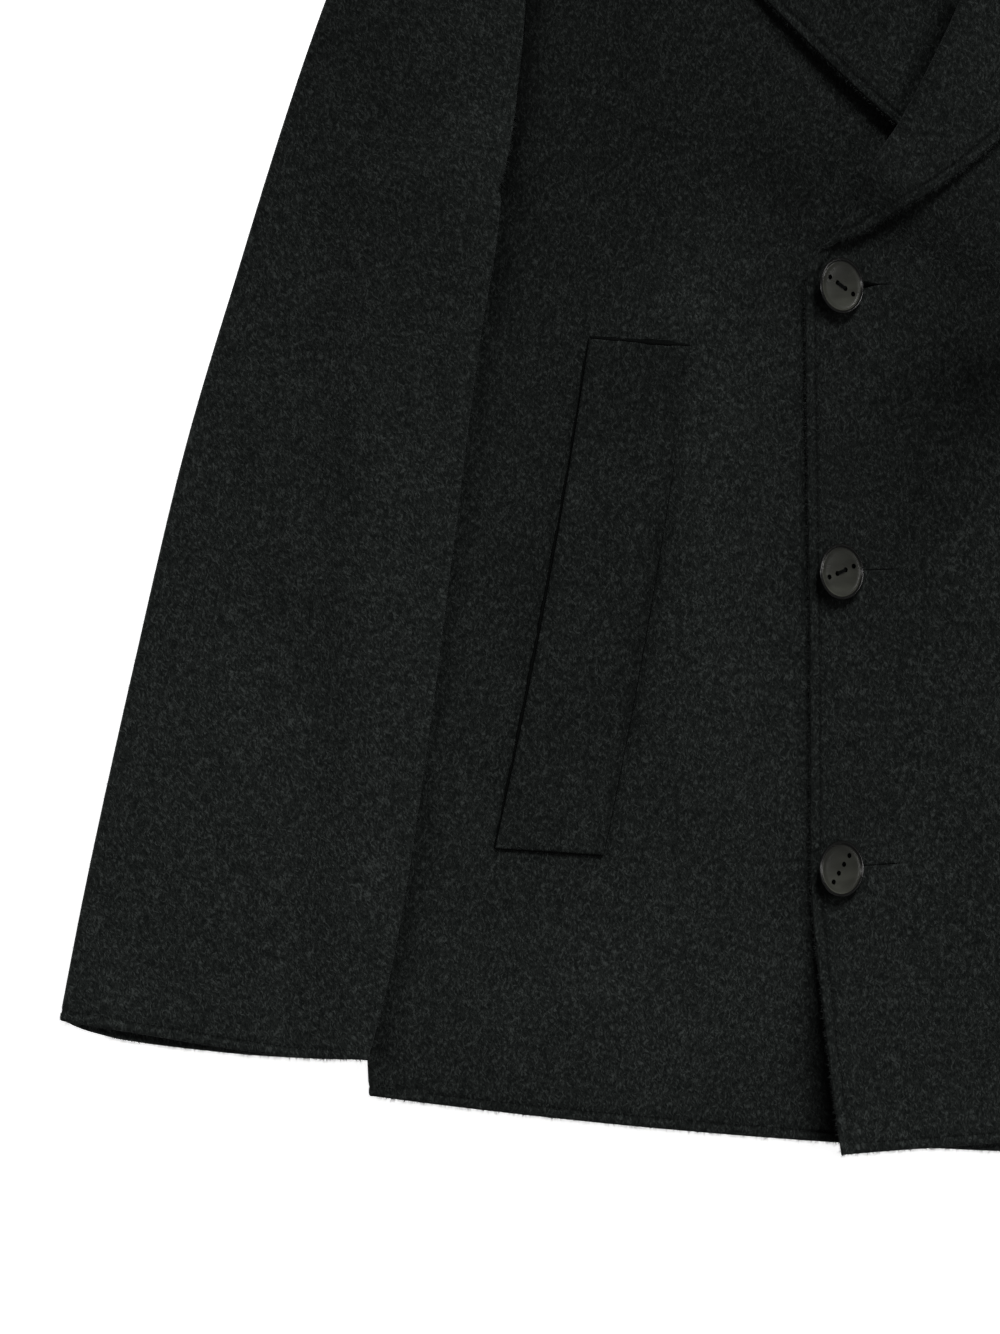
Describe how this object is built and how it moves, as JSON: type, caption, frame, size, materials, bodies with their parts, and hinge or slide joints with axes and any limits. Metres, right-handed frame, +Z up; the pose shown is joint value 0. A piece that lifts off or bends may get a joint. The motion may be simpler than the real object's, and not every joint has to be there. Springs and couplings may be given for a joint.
{
  "type": "pea coat",
  "caption": "Double-breasted pea coat in thick brushed wool, buttoned and laid flat on its back, with wide lapels and slanted welt pockets.",
  "frame": {"origin": "on the surface that the coat lies on, under the middle of the coat's length and width", "axes": "+X to the wearer's left, +Y from the hem to the collar, +Z up off the surface, out of the coat's front"},
  "size_m": [0.8954, 0.7633, 0.0239],
  "materials": {
    "wool": "thick brushed wool with a short nap, charcoal heather",
    "button_horn": "satin gloss, dark brown-grey, imitation horn"
  },
  "bodies": {
    "root": {"back": "wool", "collar": "wool", "front_left": "wool", "front_right": "wool", "sleeve_top_left": "wool", "sleeve_top_right": "wool", "sleeve_under_left": "wool", "sleeve_under_right": "wool", "pocket_welt_left": "wool", "pocket_welt_right": "wool", "button_right_1": "button_horn", "button_right_2": "button_horn", "button_right_3": "button_horn", "button_left_1": "button_horn", "button_left_2": "button_horn", "button_left_3": "button_horn"}
  },
  "joints": []
}
